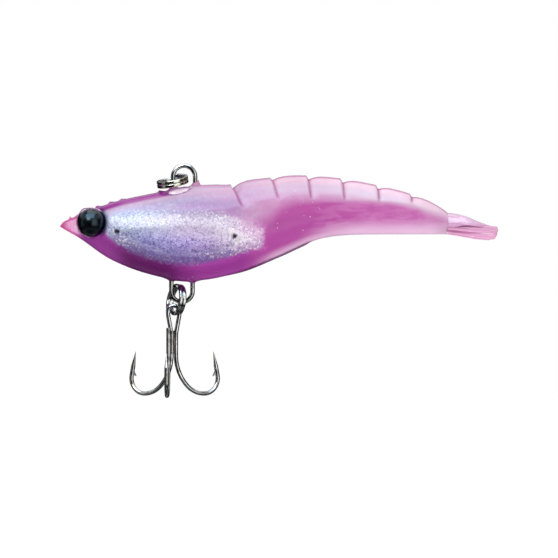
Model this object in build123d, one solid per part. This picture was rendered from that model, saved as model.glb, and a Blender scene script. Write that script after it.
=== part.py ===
"""Soft-bodied prawn lure: a translucent rubber prawn moulded round a lead jig weight.

Frame: origin at the centre of the wire eye on the back, +X towards the tail, +Z up, millimetres.
The lure is symmetric about the XZ plane, apart from its rings and its hook.
"""
from build123d import *
from math import cos, pi, radians, sin, tan
import os

# ---------------------------------------------------------------- driving dimensions (mm)
WIRE_R = 0.5                  # through-wire, 1.0 mm hard steel wire
EYE_BEND_R = 2.4              # bend of the back eye, to the wire's centre line
LOOP_BEND_R = 2.3             # bend of the belly loop, to the wire's centre line
LOOP_X, LOOP_Z = -0.46, -24.85  # centre of the belly loop's bend
BEAD_R = 3.0                  # 6 mm eye beads
BEAD_X, BEAD_Y, BEAD_Z = -20.0, 3.5, -10.0
PIN_R = 0.4                   # eye pin, and the locating holes over the lead
RING_R = 3.45                 # split rings, outside radius
RING_RADIAL, RING_AXIAL = 0.8, 0.76  # flattened spring wire of the rings
RING_PITCH = 0.79
RING_TURNS = 1.84             # the eye of the hook hangs where only one turn passes
TOP_RING = (-2.5, 0.0, -1.0)  # centre of the line-tie ring
TOP_RING_ROLL, TOP_RING_TIP = 7.7, 11.5  # its lean to the tail, and towards the left side
LOW_RING = (-1.65, 0.0, -26.7)  # centre of the hook ring
LOW_RING_YAW, LOW_RING_LEAN = 66.0, 10.2
LOW_RING_START = 29.0         # where its wire begins, from the bottom: the gap holds the eye
HOOK_R = 0.475                # treble hook wire
HOOK_X = -2.25                # axis of the treble's double wire
HOOK_EYE_Z = -29.2            # centre of the treble's eye
HOOK_EYE_R = 1.225
SHANK_R = 0.49                # shank wires' distance from the treble's axis
SINGLE_AT = (-1.12, -0.72)    # single front wire, from that axis
BEND_Z = -38.7                # where the hook bends begin
BEND_RADII = (9.5, 6.1, 3.3)  # the bend's three arcs
BEND_TURNS = (45.0, 45.0, 101.4)
POINT_RUN = 5.3               # straight run from the bend to the point
TAPER_RUN = 3.2               # ground length of the point
HOOK_AZIMUTHS = {"right": 120.5, "left": -120.5, "front": 0.0}  # from -Y towards +X
FLEX_X, FLEX_Z, FLEX_R = 34.4, -7.15, 5.6   # tail's bending line and its knuckle
FAN_X, FAN_Z, FAN_R = 56.3, -9.95, 2.6      # fan's bending line and its knuckle
KNUCKLE_GAP = 0.3
NOTCH = 22.0                  # half angle of the notch that opens where a joint bends, degrees

# Side outline of the prawn: x, z of the back, belly and half width at each station.
BACK = [(-26.9, -10.4), (-25.2, -9.2), (-19.5, -6.9), (-13, -4.9), (-5.2, -3.3), (1.7, -2.05),
        (9.3, -1.5), (16, -0.45), (24, 0.3), (31.7, -0.15), (38, -1.1), (46.2, -2.9),
        (52.1, -4.9), (57.3, -7.8)]
BELLY = [(-26.9, -11.0), (-22.6, -13.4), (-16.1, -17.8), (-7.8, -21.1), (1.3, -22.6),
         (11.1, -21), (20.8, -17.2), (28.6, -13.75), (35, -12.7), (46.9, -12.5), (57.3, -12.6)]
HALF_WIDTH = [(-26.9, 0.4), (-24, 1.6), (-20, 3.3), (-14, 5.4), (-5, 6.9), (5, 6.9), (15, 6.0),
              (25, 5.1), (35, 4.4), (46, 3.6), (57.3, 2.6)]
GROOVES = [10.5, 19.1, 27.0, 34.4, 42.1, 49.4]  # rings round the tail
GROOVE_DEPTH = 1.0
TAIL_END = 57.3

# Lead weight: the same, inside the prawn.
LEAD_TOP = [(-16.9, -11.0), (-15, -8.7), (-10, -7.8), (0, -7.7), (9, -8.5), (17.1, -11.8)]
LEAD_BOTTOM = [(-16.9, -12.6), (-14, -15), (-8, -17.8), (1, -19.3), (9, -17.9), (17.1, -15.0)]
LEAD_HALF = [(-16.9, 0.8), (-13, 3.0), (-4, 4.5), (6, 4.4), (17.1, 2.4)]
LOCATING_HOLES = [(-14.25, -11.95), (11.05, -13.0)]
BACK_TEETH = [-24.7, -23.0, -19.0, -16.1, -13.7, -5.4]


def along(points):
    """Smooth height of an outline at x, through its points."""
    def slope(i):
        low, high = points[max(i - 1, 0)], points[min(i + 1, len(points) - 1)]
        return (high[1] - low[1]) / (high[0] - low[0])

    def height(x):
        i = max(n for n in range(len(points) - 1) if points[n][0] <= x or n == 0)
        (x0, z0), (x1, z1) = points[i], points[i + 1]
        span = x1 - x0
        t = min(max((x - x0) / span, 0), 1)
        rise = z0 * (1 + 2 * t) * (1 - t) ** 2 + z1 * t * t * (3 - 2 * t)
        return rise + span * (slope(i) * t * (1 - t) ** 2 - slope(i + 1) * t * t * (1 - t))
    return height


back, belly, half_width = along(BACK), along(BELLY), along(HALF_WIDTH)


def oval(x, top, bottom, half, points=12):
    """Closed section across the body at x: widest below the middle, rounder underneath."""
    middle = bottom + 0.45 * (top - bottom)
    ring = []
    for n in range(points):
        a = 2 * pi * n / points
        reach = top - middle if sin(a) > 0 else middle - bottom
        ring.append((x, half * cos(a), middle + reach * sin(a)))
    return Face(Wire([Spline(*ring, periodic=True)]))


def body_section(x, dip=0.0):
    return oval(x, back(x) - dip, belly(x) + 0.25 * dip, half_width(x) - 0.5 * dip)


def box_between(low, high):
    size = [b - a for a, b in zip(low, high)]
    return Pos(*low) * Box(*size, align=(Align.MIN, Align.MIN, Align.MIN))


def rod(start, end, radius):
    """Round bar from start to end."""
    run = Vector(*end) - Vector(*start)
    base = Plane(origin=start, z_dir=run)
    return extrude(base * Circle(radius), amount=run.length)


def swept(path, radius):
    """Round wire along a path."""
    return sweep(Plane(origin=path @ 0, z_dir=path % 0) * Circle(radius), path=path)


# ---------------------------------------------------------------- through-wire and lead
def wire_path():
    inner_top, inner_low = -11.0, -14.5
    right_low = LOOP_X + LOOP_BEND_R
    left_low = LOOP_X - LOOP_BEND_R
    middle = FilletPolyline((EYE_BEND_R, 0, 0), (EYE_BEND_R, 0, -10.0), (right_low, 0, -16.5),
                            (right_low, 0, LOOP_Z), radius=20)
    eye = ThreePointArc((-EYE_BEND_R, 0, 0), (0, 0, EYE_BEND_R), (EYE_BEND_R, 0, 0))
    loop = ThreePointArc((right_low, 0, LOOP_Z), (LOOP_X, 0, LOOP_Z - LOOP_BEND_R),
                         (left_low, 0, LOOP_Z))
    return Wire([Line((-EYE_BEND_R, 0, inner_top), (-EYE_BEND_R, 0, 0)), eye, *middle.edges(), loop,
                 Line((left_low, 0, LOOP_Z), (left_low, 0, inner_low))])


def lead_blank():
    top, bottom, half = along(LEAD_TOP), along(LEAD_BOTTOM), along(LEAD_HALF)
    stations = [-16.9, -16.2, -14.5, -11, -5, 1, 7, 12, 15.6, 17.1]
    return loft([oval(x, top(x), bottom(x), half(x)) for x in stations])


# ---------------------------------------------------------------- soft body
def front_blank():
    """Head and carapace, up to the first groove."""
    stations = [-26.9, -25.8, -24, -21, -17, -12, -6, 1, 6.5, 9.6]
    return loft([body_section(x) for x in stations] + [body_section(GROOVES[0], GROOVE_DEPTH)])


def segment(start, end, last):
    """One ring of the tail: it swells behind its groove and narrows to the next."""
    span = end - start
    inner = [body_section(start + share * span, 0.1) for share in (0.22, 0.5, 0.82)]
    first = body_section(start, GROOVE_DEPTH)
    close = body_section(end, 0.0 if last else GROOVE_DEPTH)
    return loft([first, *inner, close])


def flex_cylinder(x, z, radius):
    return Pos(x, 0, z) * Rot(90, 0, 0) * Cylinder(radius, 30)


def bending_room(x, z, radius):
    """Socket for a knuckle, with notches above and below for what swings over it."""
    reach = 4 * radius
    side = reach * tan(radians(NOTCH))
    wedge = Polyline((x, 0, z), (x, 0, z + reach), (x - side, 0, z + reach), close=True)
    lower = Polyline((x, 0, z), (x, 0, z - reach), (x - side, 0, z - reach), close=True)
    room = flex_cylinder(x, z, radius + KNUCKLE_GAP)
    for outline in (wedge, lower):
        room += extrude(make_face(outline), amount=15, both=True)
    return room


def collars():
    """Rubber that climbs the wire where it leaves the body."""
    made = []
    for x, z, height in ((-EYE_BEND_R, -3.6, 1.5), (EYE_BEND_R, -2.6, 1.6)):
        made.append(Pos(x, 0, z) * Cone(1.1, 0.68, height, align=(Align.CENTER,) * 2 + (Align.MIN,)))
    for x in (LOOP_X - LOOP_BEND_R, LOOP_X + LOOP_BEND_R):
        made.append(Pos(x, 0, -22.0) * Rot(180, 0, 0)
                    * Cone(1.0, 0.66, 1.15, align=(Align.CENTER,) * 2 + (Align.MIN,)))
    return made


def back_teeth():
    made = []
    for x in BACK_TEETH:
        z = back(x)
        outline = Polyline((x - 0.9, 0, z - 0.9), (x - 0.1, 0, z + 0.45), (x + 1.3, 0, z - 0.3),
                           (x + 1.3, 0, z - 0.9), close=True)
        made.append(extrude(make_face(outline), amount=0.25, both=True))
    return made


def soft_body():
    ends = GROOVES + [TAIL_END]
    whole = front_blank()
    for n, start in enumerate(GROOVES):
        whole += segment(start, ends[n + 1], n == len(GROOVES) - 1)
    return whole


def front_details(front, lead, wire):
    """Boss, collars, teeth, eye sockets and the spaces for what the body holds."""
    boss = Pos(-0.6, 0, -21.6) * Cylinder(3.6, 2.7)
    for piece in [boss, *collars(), *back_teeth()]:
        front += piece
    for side in (-1, 1):
        rim = Pos(BEAD_X, side * (BEAD_Y - 1.3), BEAD_Z) * Rot(90, 0, 0) * Cylinder(3.55, 2.2)
        front += rim
    for side in (-1, 1):
        front -= Pos(BEAD_X, side * BEAD_Y, BEAD_Z) * Sphere(BEAD_R)
        for x, z in LOCATING_HOLES:
            front -= rod((x, side * 2.0, z), (x, side * 9.0, z), PIN_R)
    front -= rod((BEAD_X, -BEAD_Y, BEAD_Z), (BEAD_X, BEAD_Y, BEAD_Z), PIN_R)
    front -= lead
    return front - wire


# ---------------------------------------------------------------- tail fan
def blade(length, root, widest, thick, splay, roll, pitch, at):
    """Flat rounded blade, growing along +X from its root."""
    edge = Spline((0, root), (0.35 * length, 0.75 * widest + 0.25 * root), (0.8 * length, widest),
                  (0.97 * length, 0.72 * widest), (length, 0))
    other = mirror(edge, about=Plane.XZ)
    outline = make_face(edge + other + Line((0, root), (0, -root)))
    flat = extrude(outline, amount=thick / 2, both=True)
    return Pos(*at) * Rot(0, 0, splay) * Rot(0, pitch, 0) * Rot(roll, 0, 0) * flat


def fan():
    """Telson with the fan's base, and two pairs of side blades."""
    base = loft([body_section(x) for x in (FAN_X, 57.3)]
                + [oval(59.6, -8.35, -12.3, 2.3), oval(61.2, -9.0, -11.6, 1.7)])
    knuckle = flex_cylinder(FAN_X, FAN_Z, FAN_R) & tail_block(FAN_X - 4, FAN_X + 0.01)
    lobe = loft([oval(57.6, -7.95, -10.6, 1.9), oval(61, -8.6, -10.45, 2.1),
                 oval(64.4, -9.95, -10.85, 1.7), oval(67.3, -10.98, -11.12, 0.7)])
    blades = {}
    for name, side in (("left", 1), ("right", -1)):
        inner = blade(9.0, 1.0, 1.9, 0.7, side * 8, side * -28, 6, (58.9, side * 1.75, -11.0))
        outer = blade(9.4, 1.0, 2.0, 0.7, side * 24, side * -34, 8, (58.7, side * 1.9, -11.8))
        blades["uropod_inner_" + name] = inner
        blades["uropod_outer_" + name] = outer - inner
    telson = base + knuckle + lobe
    for piece in blades.values():
        telson -= piece
    return telson, blades


def tail_block(low, high):
    return SOFT & box_between((low, -20, -40), (high, 20, 20))


# ---------------------------------------------------------------- rings and hook
def split_ring():
    """Two flat turns of spring wire round Z, centred on the origin."""
    middle = RING_R - RING_RADIAL / 2
    height = RING_PITCH * RING_TURNS
    path = Helix(pitch=RING_PITCH, height=height, radius=middle)
    section = Plane(origin=path @ 0, x_dir=(1, 0, 0), z_dir=path % 0) * RectangleRounded(
        RING_RADIAL, RING_AXIAL, 0.2)
    return Pos(0, 0, -height / 2) * sweep(section, path=path, is_frenet=True)


def hook_side(azimuth, start, shank_top):
    """Path of one hook from the shank down round the bend to the start of the ground point."""
    a = radians(azimuth)
    out = Vector(sin(a), -cos(a), 0)
    at = Vector(start[0], start[1], BEND_Z)
    heading = -90.0
    edges = [] if shank_top is None else [Line((at.X, at.Y, shank_top), at)]
    for radius, turn in zip(BEND_RADII, BEND_TURNS):
        centre = at + (out * -sin(radians(heading)) + Vector(0, 0, cos(radians(heading)))) * radius
        stops = []
        for share in (0.5, 1.0):
            h = radians(heading + share * turn)
            stops.append(centre + (out * sin(h) - Vector(0, 0, cos(h))) * radius)
        edges.append(ThreePointArc(at, stops[0], stops[1]))
        at = stops[1]
        heading += turn
    h = radians(heading)
    way = out * cos(h) + Vector(0, 0, sin(h))
    taper = at + way * (POINT_RUN - TAPER_RUN)
    edges.append(Line(at, taper))
    return edges, out, way, taper


def point_and_barb(out, way, taper):
    """Ground point, and the barb raised on its inner side."""
    cone = Plane(origin=taper, z_dir=way) * Cone(
        HOOK_R, 0.03, TAPER_RUN, align=(Align.CENTER,) * 2 + (Align.MIN,))
    root = taper - way * 0.7 - out * 0.15
    tip = taper - way * 2.3 - out * 1.25
    heel = taper - way * 1.9 - out * 0.1
    thin = Polyline(root, tip, heel, close=True)
    barb = extrude(make_face(thin), amount=0.18, both=True)
    return cone + barb


def treble():
    """Double wire with the eye, the single front wire and the braze that joins them."""
    half = HOOK_EYE_R
    eye = ThreePointArc((-half, 0, HOOK_EYE_Z), (0, 0, HOOK_EYE_Z + half), (half, 0, HOOK_EYE_Z))
    edges = {}
    points = []
    for name, side in (("right", 1), ("left", -1)):
        bend, out, way, taper = hook_side(HOOK_AZIMUTHS[name], (side * SHANK_R, 0), None)
        leg = FilletPolyline((side * half, 0, HOOK_EYE_Z), (side * half, 0, -30.0),
                             (side * SHANK_R, 0, -34.0), (side * SHANK_R, 0, BEND_Z), radius=5)
        edges[name] = [*leg.edges(), *bend]
        points.append(point_and_barb(out, way, taper))
    double = swept(Wire([*edges["left"], eye, *edges["right"]]), HOOK_R)
    for piece in points:
        double += piece
    bend, out, way, taper = hook_side(HOOK_AZIMUTHS["front"], SINGLE_AT, -32.8)
    single = swept(Wire(bend), HOOK_R) + point_and_barb(out, way, taper)
    single = single - double
    braze = Pos(-0.42, -0.42, (-33.4 - 38.4) / 2) * Cylinder(0.62, 5.0)
    braze = braze - double - single
    place = Pos(HOOK_X, 0, 0)
    return place * double, place * single, place * braze


# ---------------------------------------------------------------- assembly
PARTS = {}
SOFT = soft_body()
through_wire = swept(wire_path(), WIRE_R)
blank = lead_blank()

front_half = SOFT & box_between((-40, -20, -40), (FLEX_X, 20, 20))
front_half -= bending_room(FLEX_X, FLEX_Z, FLEX_R)
PARTS["soft_body_front"] = front_details(front_half, blank, through_wire)

rear = tail_block(FLEX_X, FAN_X) + (tail_block(FLEX_X - 8, FLEX_X + 0.01)
                                    & flex_cylinder(FLEX_X, FLEX_Z, FLEX_R))
PARTS["soft_body_rear"] = rear - bending_room(FAN_X, FAN_Z, FAN_R)

PARTS["telson"], uropods = fan()
PARTS.update(uropods)

PARTS["lead_weight"] = blank - through_wire
PARTS["wire_harness"] = through_wire

pin = rod((BEAD_X, -BEAD_Y - BEAD_R + 0.1, BEAD_Z), (BEAD_X, BEAD_Y + BEAD_R - 0.1, BEAD_Z), PIN_R)
PARTS["eye_pin"] = pin
for eye_name, eye_side in (("eye_bead_left", 1), ("eye_bead_right", -1)):
    PARTS[eye_name] = Pos(BEAD_X, eye_side * BEAD_Y, BEAD_Z) * Sphere(BEAD_R) - pin

ring = split_ring()
PARTS["line_tie_ring"] = (Pos(*TOP_RING) * Rot(0, -TOP_RING_ROLL, 0) * Rot(TOP_RING_TIP, 0, 0)
                          * Rot(0, 0, 150) * ring)
PARTS["hook_ring"] = (Pos(*LOW_RING) * Rot(0, LOW_RING_LEAN, 0) * Rot(0, 0, 90 - LOW_RING_YAW)
                      * Rot(0, 90, 0) * Rot(0, 0, LOW_RING_START) * ring)

(PARTS["treble_double_wire"], PARTS["treble_single_wire"], PARTS["treble_braze"]) = treble()

os.makedirs("parts", exist_ok=True)
for node, shape in PARTS.items():
    shape.label = node
    export_step(shape, f"parts/{node}.step")
    size = shape.bounding_box().size
    print(f"{node:22s} solids {len(shape.solids())}  volume {shape.volume:9.2f}  "
          f"size {size.X:.2f} {size.Y:.2f} {size.Z:.2f}")
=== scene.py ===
"""Looks of the soft prawn lure: a translucent rubber prawn over a glittering lead weight.

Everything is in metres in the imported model's frame: +X to the tail, +Z up, and the origin at the
centre of the wire eye on the back. Outlines are written in millimetres and scaled by MM.
"""
import bpy
import math
import random
from mathutils import Matrix, Vector
from types import SimpleNamespace


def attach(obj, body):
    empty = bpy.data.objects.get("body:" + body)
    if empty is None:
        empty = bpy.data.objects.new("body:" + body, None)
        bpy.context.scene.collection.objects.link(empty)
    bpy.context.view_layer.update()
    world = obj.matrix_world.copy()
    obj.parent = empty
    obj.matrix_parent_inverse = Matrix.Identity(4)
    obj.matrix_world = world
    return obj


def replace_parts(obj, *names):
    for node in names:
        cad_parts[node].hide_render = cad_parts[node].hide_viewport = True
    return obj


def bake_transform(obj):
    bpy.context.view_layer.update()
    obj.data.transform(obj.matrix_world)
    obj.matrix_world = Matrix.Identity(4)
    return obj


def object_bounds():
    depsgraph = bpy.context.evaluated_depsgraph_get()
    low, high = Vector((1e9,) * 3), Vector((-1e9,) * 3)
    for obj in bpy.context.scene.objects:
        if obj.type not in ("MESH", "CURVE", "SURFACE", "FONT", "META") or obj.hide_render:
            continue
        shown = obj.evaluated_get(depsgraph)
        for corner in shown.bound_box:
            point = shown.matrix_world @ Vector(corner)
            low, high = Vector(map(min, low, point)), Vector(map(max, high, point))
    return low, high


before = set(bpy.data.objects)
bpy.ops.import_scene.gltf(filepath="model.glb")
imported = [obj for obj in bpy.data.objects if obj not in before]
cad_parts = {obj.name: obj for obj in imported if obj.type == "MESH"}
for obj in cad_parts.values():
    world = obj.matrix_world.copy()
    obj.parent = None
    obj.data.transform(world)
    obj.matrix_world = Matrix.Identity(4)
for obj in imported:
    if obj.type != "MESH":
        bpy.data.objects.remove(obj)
CAD_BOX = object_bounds()
MM = 0.001

# ---------------------------------------------------------------- outlines of the prawn (mm)
NOSE, TAIL = -26.9, 57.4
BACK = [(NOSE, -10.7), (-26.3, -9.9), (-25.2, -9.3), (-22.6, -8.2), (-19.5, -6.95), (-16.5, -5.9),
        (-13, -4.9), (-5.2, -3.3), (1.7, -2.0), (6.7, -1.7), (9.6, -1.7), (13.9, -0.75),
        (17.6, -0.3), (24, 0.3), (31.7, -0.1), (38, -1.05), (46.2, -2.85), (52.1, -4.8),
        (55.5, -6.6), (TAIL, -8.0)]
BELLY = [(NOSE, -10.85), (-26.0, -11.4), (-22.6, -13.4), (-16.1, -17.85), (-7.8, -21.1),
         (1.3, -22.6), (11.1, -21), (20.8, -17.15), (28.6, -13.75), (35, -12.7), (46.9, -12.5),
         (TAIL, -12.5)]
HALF_WIDTH = [(NOSE, 0.1), (-26.2, 0.6), (-24, 1.7), (-20, 3.4), (-14, 5.4), (-5, 6.9), (5, 6.9),
              (15, 6.0), (25, 5.1), (35, 4.4), (46, 3.6), (TAIL, 2.5)]
WIDEST_AT = 0.45              # share of the height, from the belly up, where the body is widest
END_ROUND = 0.8               # length of the rounded edge at the end of the tail
# Grooves across the back: place, lean per mm of depth, depth, and how far down they run.
GROOVES = [(10.5, 0.42, 0.95, 5.4), (19.1, 0.29, 0.6, 4.6), (27.0, 0.11, 0.85, 4.9),
           (34.4, 0.08, 0.85, 4.4), (42.1, 0.03, 0.75, 3.2), (49.4, -0.08, 0.55, 1.6)]
# Teeth on the crest: place, height and length of the slope behind.
BACK_TEETH = [(-24.8, 0.6, 0.35), (-23.2, 0.25, 0.8), (-19.0, 0.5, 1.2), (-16.1, 0.4, 1.2),
              (-13.7, 0.3, 1.2), (-5.4, 0.4, 1.2)]
NIB_X = 3.15                  # spike of rubber behind the back eye
BACK_WIRES = (-2.4, 2.4)      # where the wire comes out of the back
BELLY_WIRES = (-2.76, 1.84)   # and out of the belly
# Holes left by the pins that held the lead in the mould: end, x, z, radius of the bore, radius of
# its ring of painted shade on the skin, and how far the lead lies from the middle plane.
LOCATING_HOLES = [("front", -14.25, -11.95, 0.56, 0.54, 2.4), ("rear", 11.05, -13.0, 0.46, 0.46, 3.8)]
# Dimple beside the back eye: its middle, half its length and height, and its slope.
DISH_X, DISH_Z, DISH_LONG, DISH_HIGH, DISH_SLOPE = -1.1, -3.15, 2.4, 0.62, 0.2
# Bead eyes: their middle, and the socket's radius and the reach of its edge.
BEAD_X, BEAD_Y, BEAD_Z = -20.0, 3.5, -10.0
SOCKET_RADIUS, SOCKET_EDGE = 3.12, 3.2
# Pale back over deep magenta sides: where they meet, and how softly.
UPPER_EDGE = [(NOSE, -12), (-20, -11), (-16, -10.8), (-10, -9.6), (0, -9.6), (9, -10.2), (13, -11.2),
              (16, -10.6), (19, -8.8), (22, -6.4), (27, -5.6), (42, -5.6), (46, -5.9), (49.5, -6.5),
              (53, -7.8), (TAIL, -9.2)]
EDGE_BLUR = [(NOSE, 0.8), (0, 0.8), (13, 2.0), (18, 3.2), (22, 1.8), (28, 0.7), (46, 0.8), (TAIL, 1.4)]
LEAD_TOP = [(-16.9, -11.0), (-15, -8.7), (-10, -7.8), (0, -7.7), (9, -8.5), (17.1, -11.8)]
LEAD_BOTTOM = [(-16.9, -12.6), (-14, -15), (-8, -17.8), (1, -19.3), (9, -17.9), (17.1, -15.0)]


def smooth(points):
    """Smooth height of an outline at x, through its points."""
    def slope(i):
        low, high = points[max(i - 1, 0)], points[min(i + 1, len(points) - 1)]
        return (high[1] - low[1]) / (high[0] - low[0])

    slopes = [slope(i) for i in range(len(points))]

    def height(x):
        i = 0
        while i < len(points) - 2 and points[i + 1][0] <= x:
            i += 1
        (x0, z0), (x1, z1) = points[i], points[i + 1]
        span = x1 - x0
        t = min(max((x - x0) / span, 0), 1)
        rise = z0 * (1 + 2 * t) * (1 - t) ** 2 + z1 * t * t * (3 - 2 * t)
        return rise + span * (slopes[i] * t * (1 - t) ** 2 - slopes[i + 1] * t * t * (1 - t))
    return height


def step(low, high, x):
    """0 before low, 1 after high, smooth between. low may be above high."""
    t = min(max((x - low) / (high - low), 0), 1)
    return t * t * (3 - 2 * t)


def bell(distance, width, power=2):
    """1 at no distance, falling softly to nothing well past width."""
    return math.exp(-(abs(distance) / width) ** power)


back, belly, half_width = smooth(BACK), smooth(BELLY), smooth(HALF_WIDTH)
upper_edge, edge_blur = smooth(UPPER_EDGE), smooth(EDGE_BLUR)
lead_top, lead_bottom = smooth(LEAD_TOP), smooth(LEAD_BOTTOM)


def section(x):
    """Top, bottom, half width and height of the widest place of the body at x."""
    top, bottom = back(x), belly(x)
    return top, bottom, half_width(x), bottom + WIDEST_AT * (top - bottom)


# ---------------------------------------------------------------- mesh helpers
def new_object(name, verts, faces, smooth_shade=True):
    mesh = bpy.data.meshes.new(name)
    mesh.from_pydata([tuple(v) for v in verts], [], faces)
    mesh.validate()
    mesh.update()
    ob = bpy.data.objects.new(name, mesh)
    bpy.context.scene.collection.objects.link(ob)
    if smooth_shade:
        mesh.polygons.foreach_set("use_smooth", [True] * len(mesh.polygons))
    return ob


def add_attribute(ob, name, numbers):
    """Give each point of the mesh a number that a material can read."""
    ob.data.attributes.new(name, "FLOAT", "POINT").data.foreach_set("value", numbers)


def grid_tube(rings):
    """Points and faces of a tube of equal rings, its ends closed to their own middle points."""
    n = len(rings[0])
    verts = [p for ring in rings for p in ring]
    faces = []
    for i in range(len(rings) - 1):
        for j in range(n):
            k = (j + 1) % n
            faces.append((i * n + j, i * n + k, (i + 1) * n + k, (i + 1) * n + j))
    for index, flip in ((0, True), (len(rings) - 1, False)):
        verts.append(sum((Vector(p) for p in rings[index]), Vector()) / n)
        at = len(verts) - 1
        for j in range(n):
            a, b = index * n + j, index * n + (j + 1) % n
            faces.append((at, b, a) if flip else (at, a, b))
    return verts, faces


def lathe(name, profile, at, side, around=48):
    """Closed body turned about the Y axis through at. profile: radius, reach outwards, in mm."""
    count = len(profile)
    verts, faces = [], []
    for n in range(around):
        a = 2 * math.pi * n / around
        verts += [Vector((at[0] + r * math.cos(a), side * reach, at[1] + r * math.sin(a))) * MM
                  for r, reach in profile]
    for i in range(around):
        next_i = (i + 1) % around
        for j in range(count):
            next_j = (j + 1) % count
            face = (i * count + j, i * count + next_j, next_i * count + next_j, next_i * count + j)
            faces.append(face if side > 0 else face[::-1])
    return new_object(name, verts, faces)


# ---------------------------------------------------------------- shader helpers
def srgb(code):
    """Linear colour of a hex code."""
    out = []
    for i in (0, 2, 4):
        c = int(code[i:i + 2], 16) / 255
        out.append(c / 12.92 if c <= 0.04045 else ((c + 0.055) / 1.055) ** 2.4)
    return (*out, 1.0)


class Nodes:
    """Short way to build one material's node tree."""

    def __init__(self, name):
        self.mat = bpy.data.materials.new(name)
        self.mat.use_nodes = True
        self.tree = self.mat.node_tree
        self.bsdf = self.tree.nodes["Principled BSDF"]
        self.out = self.tree.nodes["Material Output"]

    def link(self, a, b):
        self.tree.links.new(a, b)

    def node(self, kind, **values):
        n = self.tree.nodes.new(kind)
        for key, value in values.items():
            setattr(n, key, value)
        return n

    def attribute(self, name):
        return self.node("ShaderNodeAttribute", attribute_name=name)

    def math(self, operation, a, b):
        n = self.node("ShaderNodeMath", operation=operation)
        for socket, value in zip(n.inputs, (a, b)):
            if isinstance(value, (int, float)):
                socket.default_value = value
            else:
                self.link(value, socket)
        return n.outputs[0]

    def times(self, a, b):
        return self.math("MULTIPLY", a, b)

    def span(self, value, low, high, a=0.0, b=1.0):
        """a where value is low, b where it is high, smooth between. low may be above high."""
        n = self.node("ShaderNodeMapRange", interpolation_type="SMOOTHSTEP")
        self.link(value, n.inputs["Value"])
        for name, number in (("From Min", low), ("From Max", high), ("To Min", a), ("To Max", b)):
            n.inputs[name].default_value = number
        return n.outputs[0]

    def mix(self, weight, a, b):
        """Colour b over colour a. A colour is a hex code or a socket."""
        n = self.node("ShaderNodeMix", data_type="RGBA")
        self.link(weight, n.inputs[0])
        for socket, value in ((n.inputs[6], a), (n.inputs[7], b)):
            if isinstance(value, str):
                socket.default_value = srgb(value)
            else:
                self.link(value, socket)
        return n.outputs[2]

    def layers(self, colour, *layers):
        """The colour with each layer, a weight and a colour, mixed over it in turn."""
        for weight, over in layers:
            colour = self.mix(weight, colour, over)
        return colour

    def coords(self):
        return self.node("ShaderNodeTexCoord").outputs["Object"]

    def split(self, vector):
        n = self.node("ShaderNodeSeparateXYZ")
        self.link(vector, n.inputs[0])
        return n.outputs

    def stretched(self, vector, factors):
        n = self.node("ShaderNodeVectorMath", operation="MULTIPLY")
        self.link(vector, n.inputs[0])
        n.inputs[1].default_value = factors
        return n.outputs[0]

    def noise(self, vector, scale, detail=3.0, roughness=0.5):
        n = self.node("ShaderNodeTexNoise")
        self.link(vector, n.inputs["Vector"])
        n.inputs["Scale"].default_value = scale
        n.inputs["Detail"].default_value = detail
        n.inputs["Roughness"].default_value = roughness
        return n.outputs["Fac"]

    def cells(self, vector, scale):
        """Small cells: three random numbers for each, and the distance from its middle."""
        n = self.node("ShaderNodeTexVoronoi")
        self.link(vector, n.inputs["Vector"])
        n.inputs["Scale"].default_value = scale
        numbers = self.node("ShaderNodeSeparateColor")
        self.link(n.outputs["Color"], numbers.inputs[0])
        return numbers.outputs, n.outputs["Distance"]

    def colour(self, socket):
        self.link(socket, self.bsdf.inputs["Base Color"])

    def rough(self, socket):
        self.link(socket, self.bsdf.inputs["Roughness"])

    def bump(self, height, strength, distance):
        n = self.node("ShaderNodeBump")
        n.inputs["Strength"].default_value = strength
        n.inputs["Distance"].default_value = distance
        self.link(height, n.inputs["Height"])
        self.link(n.outputs["Normal"], self.bsdf.inputs["Normal"])

    def set(self, **values):
        for key, value in values.items():
            self.bsdf.inputs[key.replace("_", " ")].default_value = value


def rubber_volume(m):
    """Magenta dye: takes green out with depth."""
    v = m.node("ShaderNodeVolumeAbsorption")
    v.inputs["Color"].default_value = (0.80, 0.20, 0.78, 1.0)
    v.inputs["Density"].default_value = 50.0
    m.link(v.outputs[0], m.out.inputs["Volume"])


# ---------------------------------------------------------------- the skin's rubber
# What each point of the skin tells its material: how far it lies under the back's edge and over the
# belly's, how near a groove is, how much it belongs to the pale back, how far it is within the
# lead's outline, the dimple's painted highlight and the painted shade along its lip, the painted
# shadow round the beads, and the painted shade round the locating holes.
SKIN_VALUES = ("depth", "rise", "groove", "upper", "lead", "dish", "dish_lip", "bead_shade", "hole")


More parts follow.
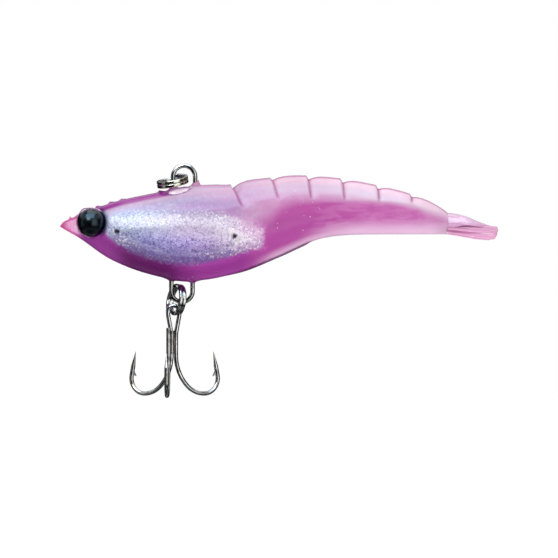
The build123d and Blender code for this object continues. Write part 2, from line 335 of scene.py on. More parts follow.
def skin_inputs(m):
    """Place along the prawn (x) and down it (z), in the undeformed body's millimetres, and marbling."""
    rest = m.attribute("rest").outputs["Vector"]
    s = SimpleNamespace(**{name: m.attribute(name).outputs["Fac"] for name in SKIN_VALUES})
    s.rest = rest
    s.x, _, s.z = m.split(rest)
    s.fine = m.noise(rest, 2.2, 4.0, 0.6)
    s.broad = m.noise(rest, 0.35, 3.0, 0.5)
    s.cloud = m.span(s.broad, 0.35, 0.65)
    s.powder = m.span(m.noise(rest, 1.1, 5.0, 0.65), 0.42, 0.62)
    s.streak = m.span(m.noise(m.stretched(rest, (0.18, 0.7, 0.7)), 1.0, 4.0, 0.6), 0.4, 0.62)
    s.lean = m.math("ADD", s.z, m.times(s.x, 0.12))
    s.beak = m.span(s.x, -21.5, -24.0)
    # the lead's outline has a powdery edge, and is drawn in a little underneath
    s.inside = m.math("ADD", s.lead, m.times(s.powder, 0.5))
    s.inside = m.math("ADD", s.inside, m.span(s.lean, -12.0, -16.0, 0.0, -0.55))
    # the lead shows clearly only well within its outline: less at the top and at the front
    s.seen = m.math("SUBTRACT", s.inside, m.span(s.lean, -15.0, -11.0, 0.0, 1.1))
    s.seen = m.math("SUBTRACT", s.seen, m.span(s.x, -6.0, -13.0, 0.0, 0.8))
    return s


def side_colour(m, s):
    """Sides and belly: deep magenta under the lead, brighter behind it, pale along the edge."""
    behind = m.mix(m.span(s.z, -10.5, -7.5), "AE4E99", "BA5AA2")
    tail_fade = m.times(m.span(s.rise, 3.8, 0.4), m.span(s.x, 22.0, 38.0))
    edge_fade = m.times(m.span(s.rise, 2.2, 0.3), m.span(s.x, 14.0, 21.0))
    return m.layers(
        "8E3A8A",
        (m.span(s.x, -17.0, -11.0), "5E1A5A"),
        (m.span(s.x, -5.0, 5.0), "983A90"),
        (m.span(s.x, 12.0, 18.0), behind),
        (m.span(s.x, 30.0, 46.0), "C46EAE"),
        (m.span(s.x, 48.0, 54.0), "C67CB2"),
        (m.times(m.times(s.cloud, 0.4), m.span(s.x, 12.0, 20.0)), "B4549F"),
        (m.times(m.times(s.streak, 0.32), m.span(s.x, 24.0, 34.0)), "DDA0CC"),
        (m.math("MAXIMUM", tail_fade, m.times(edge_fade, 0.85)), "DEBED4"))


def plate_colour(m, s):
    """Pink plates of the tail, palest on top."""
    middle = m.mix(m.span(s.x, 24.0, 44.0), "CDB0C5", "DDCCD8")
    top = m.mix(m.span(s.x, 24.0, 38.0), "E2C0D3", "EFD4E2")
    return m.layers(
        "C98EBA",
        (m.span(s.depth, 5.4, 2.6), middle),
        (m.span(s.depth, 2.4, 0.9), top),
        (m.times(s.cloud, 0.35), "D6B4CC"))


def pearl_colour(m, s):
    """Pearl back: lavender over the lead, the tail's plates behind it, and a line along the top."""
    glow = m.times(m.span(s.inside, -2.4, -0.2), m.span(s.x, 14.0, 6.0))
    shoulder = m.times(m.span(s.depth, 2.8, 4.4), m.span(s.x, -5.0, 2.0))
    crest = m.times(m.span(s.depth, 1.7, 1.0), m.span(s.x, 2.0, -3.0))
    back_line = m.times(m.span(s.depth, 0.55, 0.15), m.span(s.x, -2.0, 4.0))
    return m.layers(
        "B0A6C8",
        (m.span(s.x, -12.0, -6.0), "AB97BA"),
        (m.span(s.x, -2.0, 12.0), "C598BC"),
        (m.times(s.powder, 0.45), "C9B4CE"),
        (m.times(m.span(s.depth, 3.0, 1.6), 0.6), "D2B3CE"),
        (m.times(glow, 0.12), "B4A6C4"),
        (m.times(shoulder, m.span(s.x, 15.0, 10.0, 0.0, 0.75)), "A67EAF"),
        (m.span(s.x, 13.0, 21.0), plate_colour(m, s)),
        (crest, "9E3894"),
        (m.times(back_line, 0.85), "BF6FA4"))


def window_rim_colour(m, s):
    """Edge of the lead's window: pale on top, partly the glitter and partly a painted highlight; dark
    violet underneath, partly the dye and partly painted shade.
    """
    high = m.layers("B0BAD2", (m.span(s.x, -12.0, 0.0), "A294B0"), (m.span(s.x, 6.0, 12.0), "BC98B4"))
    top = m.layers("C9D4E4", (m.span(s.x, -12.0, 0.0), "D0C8D6"), (m.span(s.x, 8.0, 15.0), "D2B0CA"))
    top = m.mix(m.span(s.z, -7.9, -9.6), high, top)
    low = m.mix(m.span(s.x, -8.0, 8.0), "604E7A", "674C80")
    return m.mix(m.span(s.lean, -18.0, -10.0), low, top)


def window_colour(m, s):
    """Clear rubber over the lead, more violet towards its underside, partly the dye and partly painted
    shade, with bright specks that are painted glints of the glitter, and dull specks.
    """
    top = m.layers("C9DBE1", (m.span(s.x, -13.0, 2.0), "D8CEDA"), (m.span(s.x, 5.0, 12.0), "FFFAF6"))
    low = m.mix(m.span(s.x, -10.0, 11.0), "A9A8D2", "BAA9D0")
    # painted shade: the window is darker and more violet towards the lead's underside
    clear = m.mix(m.span(s.lean, -17.0, -11.5), low, top)
    (first, second, _), _ = m.cells(s.rest, 3.2)
    # bright specks: painted glints of the glitter, more of them low down
    bright = m.times(m.span(first, 0.6, 1.0), m.span(s.lean, -17.5, -15.2, 0.12, 0.5))
    dull = m.times(m.span(second, 0.62, 0.82), m.span(s.lean, -15.0, -11.0, 0.75, 0.4))
    return m.layers(
        window_rim_colour(m, s),
        (m.span(s.seen, 1.1, 2.6), clear),
        (bright, "FFFFFF"),
        (dull, "6A5C9A"))


def beak_colour(m, s):
    """Pink beak with pale streaks of painted glare, and a deeper edge."""
    edge = m.math("MAXIMUM", m.span(s.depth, 0.9, 0.3), m.span(s.rise, 1.0, 0.3))
    edge = m.math("MAXIMUM", edge, m.span(s.x, -24.6, -26.4))
    # pale streaks: painted glare
    return m.layers("E09EC6", (m.times(s.streak, 0.6), "F8DCEE"), (edge, "CB5798"))


def skin_colour(m, s):
    """The large areas of the body, and the small marks over them."""
    seam = m.times(m.span(s.rise, 0.3, 0.1), m.times(m.span(s.x, 9.0, 14.5), m.span(s.x, 28.6, 26.6)))
    return m.layers(
        side_colour(m, s),
        (s.upper, pearl_colour(m, s)),
        (m.span(s.inside, -0.9, 0.7), window_colour(m, s)),
        (s.beak, beak_colour(m, s)),
        # painted shadow of the bead on the skin beside it
        (s.bead_shade, "232F4C"),
        (m.times(s.groove, 0.85), "A9528C"),
        (m.times(seam, 0.8), "5C2C5A"),
        # painted shade: a dark ring round each locating hole
        (m.times(s.hole, 0.95), "150A1C"),
        # painted highlight in the dimple, and painted shade along its lower lip
        (s.dish, "FFE9F8"),
        (s.dish_lip, "6E4470"))


def skin_clearness(m, s):
    """How much light passes: most in the window and the beak, least round the window."""
    clear = m.math("ADD", 0.42, m.times(s.upper, -0.12))
    clear = m.times(clear, m.span(s.inside, -2.0, -0.4, 1.0, 0.5))
    window = m.times(m.span(s.seen, 0.8, 3.0), m.span(s.lean, -15.0, -11.0, 0.85, 0.55))
    clear = m.math("MAXIMUM", clear, window)
    clear = m.math("MAXIMUM", clear, m.times(s.beak, 0.7))
    # the dimple is made less clear, so that its painted highlight shows
    return m.times(clear, m.span(s.dish, 0.0, 1.0, 1.0, 0.3))


def skin_material():
    m = Nodes("prawn_rubber")
    s = skin_inputs(m)
    m.colour(skin_colour(m, s))
    m.link(skin_clearness(m, s), m.bsdf.inputs["Transmission Weight"])
    m.rough(m.span(s.fine, 0.3, 0.7, 0.10, 0.2))
    m.bump(m.math("ADD", m.times(s.fine, 0.3), s.broad), 0.25, 0.0002)
    m.set(IOR=1.12, Coat_Weight=0.45, Coat_Roughness=0.1)
    rubber_volume(m)
    return m.mat


# ---------------------------------------------------------------- the other materials
def fan_material(name, light, dark, line, under):
    """Rubber of the fan's blades, with streaks along them and a deeper colour underneath."""
    m = Nodes(name)
    co = m.coords()
    streak = m.noise(m.stretched(co, (160.0, 2600.0, 2600.0)), 1.0, 2.0, 0.5)
    fine = m.noise(co, 2500.0, 4.0, 0.6)
    _, _, z = m.split(co)
    m.colour(m.layers(
        light,
        (m.span(fine, 0.3, 0.7), dark),
        (m.span(z, -0.0098, -0.0112), under),
        (m.times(m.span(streak, 0.55, 0.68), 0.7), line)))
    m.rough(m.span(fine, 0.3, 0.7, 0.12, 0.24))
    m.bump(m.math("ADD", fine, streak), 0.3, 0.0001)
    m.set(IOR=1.3, Transmission_Weight=0.35, Coat_Weight=0.35, Coat_Roughness=0.1)
    rubber_volume(m)
    return m.mat


def rim_material():
    """Clear pink lips round the bead eyes."""
    m = Nodes("clear_rim")
    haze = m.noise(m.coords(), 800.0, 3.0, 0.5)
    m.colour(m.mix(m.span(haze, 0.3, 0.7), "EEC6E4", "D8A2CE"))
    m.rough(m.span(haze, 0.3, 0.7, 0.05, 0.14))
    m.bump(haze, 0.3, 0.0001)
    m.set(IOR=1.4, Transmission_Weight=0.8, Coat_Weight=0.5, Coat_Roughness=0.05)
    return m.mat


def hole_material():
    """Painted shade for the locating holes: a dark, mottled lining in place of the shade inside each bore.
    """
    m = Nodes("locating_bore")
    bore_shade_mottle = m.noise(m.coords(), 2500.0, 3.0, 0.6)
    m.colour(m.mix(m.span(bore_shade_mottle, 0.35, 0.65), "0D0710", "33203C"))
    m.rough(m.span(bore_shade_mottle, 0.3, 0.7, 0.35, 0.6))
    m.bump(bore_shade_mottle, 0.3, 0.00005)
    return m.mat


def lead_material():
    """Coat of fine glitter on the lead, paler on top and darker and more violet underneath, which is
    painted shade.
    """
    m = Nodes("lead_glitter")
    co = m.coords()
    x, _, z = m.split(co)
    (red, green, blue), distance = m.cells(co, 3400.0)
    # painted shade: paler towards the lead's top, darker towards its underside
    height = m.span(m.math("ADD", z, m.times(x, 0.14)), -0.0178, -0.0118)
    top = m.mix(m.span(x, -0.014, 0.006), "E4F2FF", "F8F0FF")
    bottom = m.mix(m.span(x, -0.014, 0.01), "ACACCE", "D0C4DE")
    m.colour(m.layers(
        bottom,
        (height, top),
        (m.times(m.span(red, 0.5, 1.0), 0.6), "C4C0DA"),
        (m.times(m.span(blue, 0.86, 0.95), 0.9), "6A5A98"),
        (m.span(green, 0.8, 0.9), "FBFAFF")))
    m.rough(m.span(blue, 0.0, 1.0, 0.3, 0.6))
    m.bump(distance, 0.5, 0.0001)
    m.set(Metallic=0.1)
    return m.mat


def flake_material():
    """Glitter whose flakes each have their own tone, from violet to white."""
    m = Nodes("glitter_flakes")
    tone = m.attribute("tone").outputs["Fac"]
    grain = m.noise(m.coords(), 4000.0, 2.0, 0.5)
    m.colour(m.layers(
        "5A4A8C",
        (m.span(tone, 0.03, 0.12), "A2A0CE"),
        (m.span(tone, 0.3, 0.5), "E8ECF6"),
        (m.span(tone, 0.6, 0.8), "FFFFFF"),
        (m.times(m.span(grain, 0.4, 0.7), 0.25), "C9B9E8")))
    m.rough(m.span(tone, 0.0, 1.0, 0.3, 0.15))
    m.set(Metallic=0.5)
    return m.mat


def metal_material(name, dark, light, rough):
    """Worn bright metal, with olive patches here and there, which are a painted warm reflection."""
    m = Nodes(name)
    co = m.coords()
    worn = m.noise(co, 700.0, 5.0, 0.6)
    fine = m.noise(co, 6000.0, 3.0, 0.6)
    # olive patches: painted warm reflection
    warm_reflection_patches = m.span(m.noise(co, 90.0, 2.0, 0.5), 0.5, 0.62)
    m.colour(m.layers(dark, (m.span(worn, 0.35, 0.65), light), (m.times(warm_reflection_patches, 0.4), "B4AC7C")))
    m.rough(m.span(fine, 0.3, 0.7, rough, rough + 0.08))
    m.bump(worn, 0.12, 0.00006)
    m.set(Metallic=1.0)
    return m.mat


def bead_material():
    """Glossy black beads with a cool shine."""
    m = Nodes("bead_gloss")
    haze = m.noise(m.coords(), 900.0, 4.0, 0.6)
    m.colour(m.mix(m.span(haze, 0.4, 0.7), "030406", "0A0D14"))
    m.rough(m.span(haze, 0.3, 0.7, 0.17, 0.24))
    m.bump(haze, 0.12, 0.00003)
    m.set(Specular_IOR_Level=0.4, Specular_Tint=(0.62, 0.84, 1.0, 1.0))
    return m.mat


# ---------------------------------------------------------------- the prawn's skin
AROUND_BODY = 144                     # points in each ring of the skin
KEEL = AROUND_BODY * 3 // 4           # the one on the belly's middle line
RING_GAP, BEAK_GAP, BEAK_TIP = 0.19, 0.12, 1.5   # between rings, and closer over the beak's tip


def skin_stations():
    """Places of the skin's rings along the body."""
    stations = []
    x = NOSE
    while x < TAIL:
        stations.append(x)
        x += BEAK_GAP if x < NOSE + BEAK_TIP else RING_GAP
    return stations + [TAIL]


def groove_profile(x, depth):
    """How deep the surface lies in the grooves at x, and how near the nearest groove line is."""
    dip, near = 0.0, 0.0
    for place, lean, deep, run in GROOVES:
        s = x - place - lean * max(depth, 0)
        fade = step(run + 1.0, run - 0.8, depth)
        flank = 1 - 0.55 * step(0.4, 2.4, depth)
        if s >= 0:
            shape, line = bell(s, 1.3, 1.3), bell(s, 0.35)
        else:
            shape, line = bell(s, 0.28), bell(s, 0.22)
        dip += deep * shape * fade * flank
        near = max(near, line * fade)
    return dip, near


def dish_place(x, z):
    """How far out in the dimple a point lies, 1 at its edge, and how far over its long axis."""
    over = z - DISH_Z - DISH_SLOPE * (x - DISH_X)
    return math.hypot((x - DISH_X) / DISH_LONG, over / DISH_HIGH), over


def carve_plates(p, out, x, z, dip):
    """Sink p in the grooves, and under the plates' lower margin, which stands a little proud."""
    p -= out * dip
    edge = upper_edge(x)
    plate = step(20.0, 27.0, x) * step(53.0, 49.0, x)
    below = step(edge + 0.15, edge - 0.15, z) * step(edge - 4.5, edge - 1.5, z)
    p -= out * 0.2 * plate * below


def raise_marks(p, x, y, up, on_keel):
    """Lift p in the crest's teeth, the rubber climbing the wires, the boss, the flash and the nib."""
    over, under = step(0.3, 0.8, up), step(-0.3, -0.8, up)
    for place, tall, run in BACK_TEETH:
        t = x - place
        shape = max(0, 1 - t / run) if t > 0 else max(0, 1 + t / 0.5 / min(run, 1))
        p.z += tall * shape * bell(y, 0.4) * step(0.5, 0.9, up)
    for wire_x in BACK_WIRES:
        p.z += 1.1 * bell(math.hypot(x - wire_x, y), 0.75) * over
    boss = math.hypot((x + 0.5) / 3.5, y / 3.0)
    p.z -= 0.2 * step(1.3, 0.8, boss) * under
    for wire_x in BELLY_WIRES:
        p.z -= 0.45 * bell(math.hypot(x - wire_x, y), 0.6) * under
    if on_keel:   # mould flash along the seam behind the lead
        p.z -= 0.3 * step(8.0, 16.0, x) * step(28.0, 26.0, x)
    nib = math.exp(-((x - NIB_X) / 0.22) ** 2 - (y / 0.3) ** 2)
    p.z += 0.8 * nib * over


def press_dimples(p, out, x, z, up):
    """Sink p in the dimples left by the mould: beside the back eye's foot, and at the lead's pins."""
    dish, _ = dish_place(x, z)
    if up > 0 and dish < 1.25:
        p -= out * 0.5 * step(1.0, 0.55, dish)
        p += out * 0.12 * bell(dish - 1.12, 0.08)
    for _, hole_x, hole_z, _, _, _ in LOCATING_HOLES:
        r = math.hypot(x - hole_x, z - hole_z)
        p -= out * 0.55 * step(0.8, 0.4, r)
        p += out * 0.1 * bell(r - 0.98, 0.2)


def open_socket(p):
    """Move p in to the wall of the eye socket where it would cover a bead."""
    r = math.hypot(p.x - BEAD_X, p.z - BEAD_Z)
    if r < SOCKET_EDGE and abs(p.y) > 0.3:
        reach = math.sqrt(max(SOCKET_RADIUS ** 2 - min(r, SOCKET_RADIUS) ** 2, 0))
        limit = max(BEAD_Y - reach, 0.35)
        if abs(p.y) > limit:
            p.y = math.copysign(limit, p.y)


def skin_point(x, y, z, up, middle, dip, on_keel):
    """Where a point of the plain body lies once every groove, tooth and dimple is in it."""
    p = Vector((x, y, z))
    out = Vector((0, y, z - middle)).normalized()
    carve_plates(p, out, x, z, dip)
    raise_marks(p, x, y, up, on_keel)
    press_dimples(p, out, x, z, up)
    open_socket(p)
    turned = max(x - TAIL + END_ROUND, 0) / END_ROUND
    p -= out * 0.4 * (1 - math.sqrt(max(1 - turned * turned, 0)))
    return p * MM


def skin_values(x, z, top, bottom, near):
    """What a point tells the material, in the order of SKIN_VALUES."""
    edge, blur = upper_edge(x), edge_blur(x)
    inside = min(z - lead_bottom(x), lead_top(x) - z, 2 * (x + 16.7), 1.5 * (17.0 - x))
    dish, over = dish_place(x, z)
    from_bead = math.hypot(x - BEAD_X, z - BEAD_Z)
    # painted shadow of the bead, on the skin just behind it
    bead_shade = step(4.4, 3.2, from_bead) * step(-18.8, -17.6, x) * step(-14.0, -12.0, z)
    # painted shade round each locating hole
    hole = max(step(ring_r + 0.14, ring_r - 0.1, math.hypot(x - hole_x, z - hole_z))
               for _, hole_x, hole_z, _, ring_r, _ in LOCATING_HOLES)
    # the dimple's values carry its painted highlight and the painted shade along its lower lip
    return (top - z, z - bottom, near, step(edge - blur, edge + blur, z), max(inside, -3.0),
            step(1.0, 0.75, dish), bell(dish - 1.1, 0.12) * step(0.1, -0.2, over), bead_shade, hole)


def build_skin():
    """Closed skin of the whole prawn, without its fan."""
    rings, rest = [], []
    values = {name: [] for name in SKIN_VALUES}
    for x in skin_stations():
        top, bottom, half, middle = section(x)
        ring = []
        for n in range(AROUND_BODY):
            a = 2 * math.pi * n / AROUND_BODY
            up = math.sin(a)
            y = half * math.cos(a)
            z = middle + (top - middle if up > 0 else middle - bottom) * up
            dip, near = groove_profile(x, top - z)
            ring.append(skin_point(x, y, z, up, middle, dip, n == KEEL))
            rest.append(Vector((x, y, z)))
            for name, number in zip(SKIN_VALUES, skin_values(x, z, top, bottom, near)):
                values[name].append(number)
        rings.append(ring)
    verts, faces = grid_tube(rings)
    for end_middle in verts[len(rest):]:
        rest.append(end_middle / MM)
        for numbers in values.values():
            numbers.append(0.0)
    ob = new_object("prawn_skin", verts, faces)
    places = ob.data.attributes.new("rest", "FLOAT_VECTOR", "POINT")
    places.data.foreach_set("vector", [c for v in rest for c in v])
    for name, numbers in values.items():
        add_attribute(ob, name, numbers)
    return ob


skin = build_skin()
skin.data.materials.append(skin_material())
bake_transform(skin)
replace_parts(skin, "soft_body_front", "soft_body_rear")


# ---------------------------------------------------------------- eye rims and locating holes
SIDES = (("left", 1), ("right", -1))


def eye_rim(side_name, side, material):
    """Clear lip of rubber round a bead, wider at two places on its upper half."""
    profile = []
    for n in range(16):
        a = 2 * math.pi * n / 16
        profile.append((3.14 + 0.14 * math.cos(a), 2.65 + 0.34 * math.sin(a)))
    ob = lathe("eye_rim_" + side_name, profile, (BEAD_X, BEAD_Z), side)
    for v in ob.data.vertices:
        x, z = v.co.x / MM - BEAD_X, v.co.z / MM - BEAD_Z
        a = math.atan2(z, x)
        swell = 1 + 0.07 * (bell(a - 2.1, 0.3) + 0.7 * bell(a - 0.75, 0.25))
        v.co.x = (BEAD_X + x * swell) * MM
        v.co.z = (BEAD_Z + z * swell) * MM
    ob.data.materials.append(material)
    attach(ob, "prawn")


def locating_hole(name, x, z, r, lead_y, side, material):
    """Bore left by the pin that held the lead in the mould, filled with a dark plug as painted shade."""
    top, bottom, half, middle = section(x)
    share = (z - middle) / ((top - middle) if z > middle else (middle - bottom))
    skin_y = half * math.sqrt(1 - share * share)
    deep, shallow = lead_y - 0.1, skin_y - 0.5
    profile = [(0.02, deep), (r - 0.02, deep), (r, shallow - 0.06), (r - 0.06, shallow),
               (0.5 * r, shallow - 0.12), (0.02, shallow - 0.2)]
    ob = lathe(name, profile, (x, z), side, 24)
    ob.data.materials.append(material)
    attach(ob, "prawn")


rim_mat = rim_material()
bore_shade_mat = hole_material()
for side_name, side in SIDES:
    eye_rim(side_name, side, rim_mat)
    for end_name, hole_x, hole_z, hole_r, _, lead_y in LOCATING_HOLES:
        hole_name = "locating_hole_" + end_name + "_" + side_name
        locating_hole(hole_name, hole_x, hole_z, hole_r, lead_y, side, bore_shade_mat)


# ---------------------------------------------------------------- tail fan
# Outlines of the middle blade, from the end of its root to its tip.
TELSON_ROOT, TELSON_TIP, TELSON_GAP = 54.2, 67.7, 0.15
TELSON_TOP = [(TELSON_ROOT, -8.6), (55.2, -7.9), (57.3, -7.85), (60.8, -8.55), (64.2, -9.9),
              (TELSON_TIP, -11.15)]
TELSON_BOTTOM = [(TELSON_ROOT, -11.4), (55.2, -12.0), (57.0, -12.1), (58.6, -11.5), (60.5, -10.8),
                 (63.2, -10.95), (66.0, -11.3), (TELSON_TIP, -11.4)]
TELSON_HALF = [(TELSON_ROOT, 1.3), (55.2, 2.2), (57.3, 2.35), (61.0, 2.2), (64.5, 1.7),
               (TELSON_TIP, 0.7)]


def fan_piece(name, rings, material):
    """Closed blade of the fan through its rings."""
    ob = new_object(name, *grid_tube(rings))
    ob.data.materials.append(material)
    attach(ob, "fan")
    return ob


def uropod_blade(name, length, root, widest, thick, splay, roll, pitch, at, ribs, material):
    """Flat rounded tail blade with ribs along it. Lengths in mm, turns in degrees."""
    along, around = 70, 56
    rings = []
    turn = (Matrix.Translation(Vector(at)) @ Matrix.Rotation(math.radians(splay), 4, "Z")
            @ Matrix.Rotation(math.radians(pitch), 4, "Y") @ Matrix.Rotation(math.radians(roll), 4, "X"))
    for i in range(along + 1):
        t = i / along
        grow = root + (widest - root) * step(0.0, 0.75, t)
        width = grow * math.sqrt(max(1 - max((t - 0.94) / 0.06, 0) ** 2.6, 0.0004))
        high = thick * (1 - 0.45 * t) * math.sqrt(max(1 - max((t - 0.93) / 0.07, 0) ** 2, 0.01))
        ring = []
        for j in range(around):
            a = 2 * math.pi * j / around
            c, s = math.cos(a), math.sin(a)
            y = width * math.copysign(abs(c) ** 0.8, c)
            z = 0.5 * high * math.copysign(abs(s) ** 0.7, s)
            u = y / max(width, 0.01)
            rib = 0.07 * math.cos(u * math.pi * ribs) * step(0.05, 0.2, t) * (1 - u * u)
            z += rib * (1 if s > 0 else -0.5) * min(1, 5 * abs(s))
            ring.append((turn @ Vector((length * t, y, z))) * MM)
        rings.append(ring)
    return fan_piece(name, rings, material)


def telson_blade(material):
    """Middle blade of the fan, with the root that turns inside the end of the tail."""
    around = 64
    top, bottom, half = smooth(TELSON_TOP), smooth(TELSON_BOTTOM), smooth(TELSON_HALF)
    rings = []
    x = TELSON_ROOT
    while x < TELSON_TIP + 0.01:
        high, low, width = top(x), bottom(x), half(x)
        margin = low + (0.5 - 0.36 * step(56.0, 59.0, x)) * (high - low)
        ring = []
        for j in range(around):
            a = 2 * math.pi * j / around
            c, s = math.cos(a), math.sin(a)
            rib = 0.06 * math.cos(c * 9.5) * step(57.5, 59.5, x)
            z = margin + (high - margin if s > 0 else margin - low) * s + (rib if s > 0.1 else 0)
            ring.append(Vector((x, width * c, z)) * MM)
        rings.append(ring)
        x += TELSON_GAP
    return fan_piece("telson_blade", rings, material)


uropod_mat = fan_material("uropod_rubber", "E2ACCE", "D08CB8", "F8E4F0", "DA98C0")
telson_mat = fan_material("telson_rubber", "F4D8EE", "E6C0DC", "C894BA", "DCA2CC")
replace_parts(telson_blade(telson_mat), "telson")
for side_name, side in SIDES:
    inner = uropod_blade("uropod_blade_inner_" + side_name, 10.9, 1.35, 1.85, 0.6, side * 6, side * -27, 4,
                         (57.1, side * 1.5, -10.95), 3, uropod_mat)
    outer = uropod_blade("uropod_blade_outer_" + side_name, 11.0, 1.15, 1.95, 0.6, side * 15, side * -34, 5,
                         (57.0, side * 1.55, -11.7), 2, uropod_mat)
    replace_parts(inner, "uropod_inner_" + side_name)
    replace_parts(outer, "uropod_outer_" + side_name)


# ---------------------------------------------------------------- glitter
class Flakes:
    """Many thin flat flakes in one mesh, each with its own tone."""

    def __init__(self, corners):
        self.corners = corners
        self.verts, self.faces, self.tones = [], [], []

    def add(self, centre, side, other, size, axis, lifts, spin, tone):
        """Flake that reaches size along side and other, its faces lifted along axis, in mm."""
        base, count = len(self.verts), self.corners
        self.tones.extend([tone] * 2 * count)
        for lift in lifts:
            for n in range(count):
                t = 2 * math.pi * n / count + spin
                self.verts.append(centre + (side * math.cos(t) + other * math.sin(t)) * size
                                  + axis * lift * MM)
        self.faces.append(tuple(base + n for n in reversed(range(count))))
        self.faces.append(tuple(base + count + n for n in range(count)))
        for n in range(count):
            k = (n + 1) % count
            self.faces.append((base + n, base + k, base + count + k, base + count + n))

    def build(self, name, material):
        ob = new_object(name, self.verts, self.faces, False)
        add_attribute(ob, "tone", self.tones)
        ob.data.materials.append(material)
        return ob


def lead_surface():
    """Triangles of the lead's outer skin, leaving out the bores of the wire."""
    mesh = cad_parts["lead_weight"].data
    mesh.calc_loop_triangles()
    triangles = []
    for tri in mesh.loop_triangles:
        a, b, c = (mesh.vertices[i].co.copy() for i in tri.vertices)
        middle = (a + b + c) / 3
        in_bore = abs(middle.y) < 0.0007 and abs(tri.normal.y) < 0.99 and abs(middle.x) < 0.004
        if not in_bore:
            triangles.append((a, b, c, tri.normal.copy(), tri.area))
    return triangles


def glitter(material, count=5200):
    """Small metal flakes lying at odd angles on the lead's outer skin."""
    triangles = lead_surface()
    draw = random.Random(11)
    flakes = Flakes(6)
    for a, b, c, normal, _ in draw.choices(triangles, [tri[4] for tri in triangles], k=count):
        u, v = draw.random(), draw.random()
        if u + v > 1:
            u, v = 1 - u, 1 - v
        place = a + (b - a) * u + (c - a) * v
        tilt = Vector((draw.gauss(0, 0.3), draw.gauss(0, 0.3), draw.gauss(0, 0.3)))
        axis = (normal + tilt).normalized()
        side = axis.orthogonal().normalized()
        size = draw.uniform(0.08, 0.15) * MM
        centre = place + normal * draw.uniform(0.03, 0.10) * MM
        flakes.add(centre, side, axis.cross(side), size, axis, (-0.012, 0.012), u, draw.random())
    ob = flakes.build("glitter_flakes", material)
    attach(ob, "prawn")


def flecks(material, count=45):
    """Stray flakes of glitter just under the skin, behind the lead and over the belly."""
    spots = [v for v in skin.data.vertices if 0.017 < v.co.x < 0.031 and -0.0125 < v.co.z < -0.003
             or 0.001 < v.co.x < 0.0035 and v.co.z < -0.0185]
    draw = random.Random(5)
    flakes = Flakes(5)
    for v in draw.sample(spots, count):
        side = v.normal.orthogonal().normalized()
        other = v.normal.cross(side) * 0.7
        size, tone, spin = draw.uniform(0.06, 0.14) * MM, draw.uniform(0.4, 1.0), draw.uniform(0, 3)
        flakes.add(v.co, side, other, size, v.normal, (-0.03, 0.015), spin, tone)
    ob = flakes.build("stray_flakes", material)
    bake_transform(ob)


flake_mat = flake_material()
glitter(flake_mat)
flecks(flake_mat)

# ---------------------------------------------------------------- CAD nodes and their finishes
nickel = metal_material("black_nickel", "7C7C7E", "CACAC8", 0.04)
beads = bead_material()
finishes = {"lead_weight": lead_material(), "wire_harness": nickel, "eye_pin": nickel,
            "line_tie_ring": nickel, "hook_ring": nickel, "treble_double_wire": nickel,
            "treble_single_wire": nickel,
            "treble_braze": metal_material("braze_metal", "6A6A6C", "A2A09C", 0.25),
            "eye_bead_left": beads, "eye_bead_right": beads}
for node, material in finishes.items():
    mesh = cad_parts[node].data
    mesh.materials.clear()
    mesh.materials.append(material)

# ---------------------------------------------------------------- studio
ROOM_LIGHT = 0.6              # brightness of the surround for soft light
GLOSS_LIGHT = 2.0             # and of the room that gloss mirrors
FLOOR_GLOW = 0.5
FLOOR_DROP = 0.07             # how far the floor lies under the hook
FLOOR_HALF, FLOOR_CELLS = 1.6, 24
# What gloss mirrors. Level directions: brightness by turn from the camera, in degrees, + to the
# picture's right. Steep ones: brightness by height, from -1 straight down to 1 straight up.
AROUND = [(-180, 0.04), (-92, 0.01), (-80, 0.5), (-64, 0.5), (-54, 0.01), (8, 0.01), (18, 1.9),
          (44, 2.0), (56, 1.2), (66, 0.01), (180, 0.04)]
UP_DOWN = [(-1.0, 0.01), (-0.8, 0.3), (-0.6, 0.01), (0.34, 0.01), (0.46, 1.2), (0.72, 1.0), (0.86, 0.01),
           (1.0, 0.3)]
LEVEL, STEEP = 0.3, 0.55      # heights between which one gives way to the other
# The camera looks level, along +Y: its distance from the lure's middle plane, how much of that
# plane it sees, and the x and z at the middle of the picture.
VIEW_DISTANCE, VIEW_WIDTH = 0.6, 0.1211
VIEW_X, VIEW_Z = 0.0206, -0.0222
SENSOR_WIDTH = 36.0           # in millimetres


def build_floor():
    floor_z = CAD_BOX[0][2] - FLOOR_DROP
    row = FLOOR_CELLS + 1
    marks = [(i / FLOOR_CELLS - 0.5) * 2 * FLOOR_HALF for i in range(row)]
    verts = [(x, y, floor_z) for x in marks for y in marks]
    faces = []
    for i in range(FLOOR_CELLS):
        for j in range(FLOOR_CELLS):
            a = i * row + j
            faces.append((a, a + row, a + row + 1, a + 1))
    ob = new_object("studio_floor", verts, faces, False)
    m = Nodes("studio_floor")
    m.colour(m.mix(m.noise(m.coords(), 3.0), "FFFFFF", "FBFAFC"))
    m.set(Roughness=0.8, Emission_Color=(1, 1, 1, 1), Emission_Strength=FLOOR_GLOW)
    ob.data.materials.append(m.mat)
    ob.visible_glossy = False


def area_light(name, place, target, size, power, colour, gloss_only=False):
    data = bpy.data.lights.new(name, "AREA")
    data.shape = "RECTANGLE"
    data.size, data.size_y = size
    data.energy = power
    data.color = colour
    ob = bpy.data.objects.new(name, data)
    bpy.context.scene.collection.objects.link(ob)
    ob.location = place
    ob.rotation_euler = (Vector(target) - Vector(place)).to_track_quat("-Z", "Y").to_euler()
    ob.visible_diffuse = not gloss_only


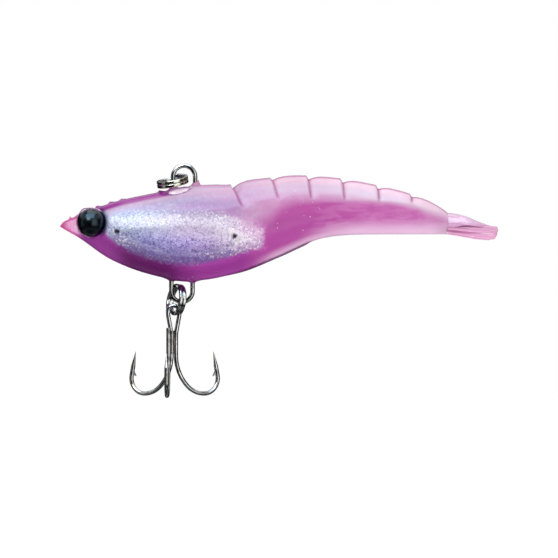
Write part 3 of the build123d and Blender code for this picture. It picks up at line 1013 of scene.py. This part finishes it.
def build_world():
    """White surround to look at and through, and a room of soft boxes and dark gaps to mirror."""
    world = bpy.data.worlds.new("studio")
    world.use_nodes = True
    bpy.context.scene.world = world
    tree = world.node_tree
    link = tree.links.new
    background = tree.nodes["Background"]

    def fill(socket, value):
        if isinstance(value, (int, float, tuple)):
            socket.default_value = value
        else:
            link(value, socket)

    def node(kind, *values, operation=None):
        n = tree.nodes.new(kind)
        if operation:
            n.operation = operation
        for socket, value in zip(n.inputs, values):
            fill(socket, value)
        return n

    def calc(operation, a, b):
        return node("ShaderNodeMath", a, b, operation=operation).outputs[0]

    def mix(weight, a, b):
        n = tree.nodes.new("ShaderNodeMix")
        n.data_type = "RGBA"
        for index, value in ((0, weight), (6, a), (7, b)):
            fill(n.inputs[index], value)
        return n.outputs[2]

    def levels(value, low, high, table, tint):
        """Brightness from a table, half-scaled so that it may pass 1."""
        n = node("ShaderNodeValToRGB", calc("DIVIDE", calc("SUBTRACT", value, low), high - low))
        ramp = n.color_ramp
        ramp.interpolation = "EASE"
        while len(ramp.elements) < len(table):
            ramp.elements.new(0.5)
        for element, (place, level) in zip(ramp.elements, table):
            element.position = (place - low) / (high - low)
            element.color = (*(0.5 * level * t for t in tint), 1)
        return n.outputs[0]

    way = node("ShaderNodeTexCoord").outputs["Generated"]
    x, y, z = node("ShaderNodeSeparateXYZ", way).outputs
    turn = calc("MULTIPLY", calc("ARCTAN2", x, calc("MULTIPLY", y, -1)), 180 / math.pi)
    around = levels(turn, -180, 180, AROUND, (1.0, 1.0, 0.98))
    up_down = levels(z, -1, 1, UP_DOWN, (0.86, 0.95, 1.0))
    steep = node("ShaderNodeMapRange", calc("ABSOLUTE", z, 0), LEVEL, STEEP, 0.0, 1.0).outputs[0]
    room = mix(steep, around, up_down)
    path = node("ShaderNodeLightPath")
    through = path.outputs["Is Transmission Ray"]
    mirrored = calc("MULTIPLY", path.outputs["Is Glossy Ray"], calc("SUBTRACT", 1.0, through))
    seen = calc("MAXIMUM", path.outputs["Is Camera Ray"], through)
    white = calc("ADD", calc("MULTIPLY", seen, 1 - ROOM_LIGHT), ROOM_LIGHT)
    strength = calc("ADD", calc("MULTIPLY", mirrored, GLOSS_LIGHT),
                    calc("MULTIPLY", white, calc("SUBTRACT", 1.0, mirrored)))
    link(mix(mirrored, (1, 1, 1, 1), room), background.inputs["Color"])
    link(strength, background.inputs["Strength"])


def build_camera():
    data = bpy.data.cameras.new("camera")
    data.sensor_width = SENSOR_WIDTH
    data.lens = SENSOR_WIDTH * VIEW_DISTANCE / VIEW_WIDTH
    ob = bpy.data.objects.new("camera", data)
    bpy.context.scene.collection.objects.link(ob)
    ob.location = (VIEW_X, -VIEW_DISTANCE, VIEW_Z)
    ob.rotation_euler = (math.pi / 2, 0, 0)
    bpy.context.scene.camera = ob


build_floor()
build_world()
build_camera()
area_light("key", (-0.15, -0.43, 0.25), (0.01, 0, -0.01), (0.25, 0.2), 1.3, (0.93, 0.97, 1.0))
area_light("soft_box", (-0.06, -0.3, 0.5), (-0.02, 0, -0.01), (0.7, 0.4), 6.0, (0.55, 0.8, 1.0), True)
area_light("top", (0.03, 0.05, 0.4), (0.02, 0, -0.01), (0.4, 0.3), 1.0, (1.0, 0.98, 1.0))
bpy.context.scene.view_settings.view_transform = "Standard"
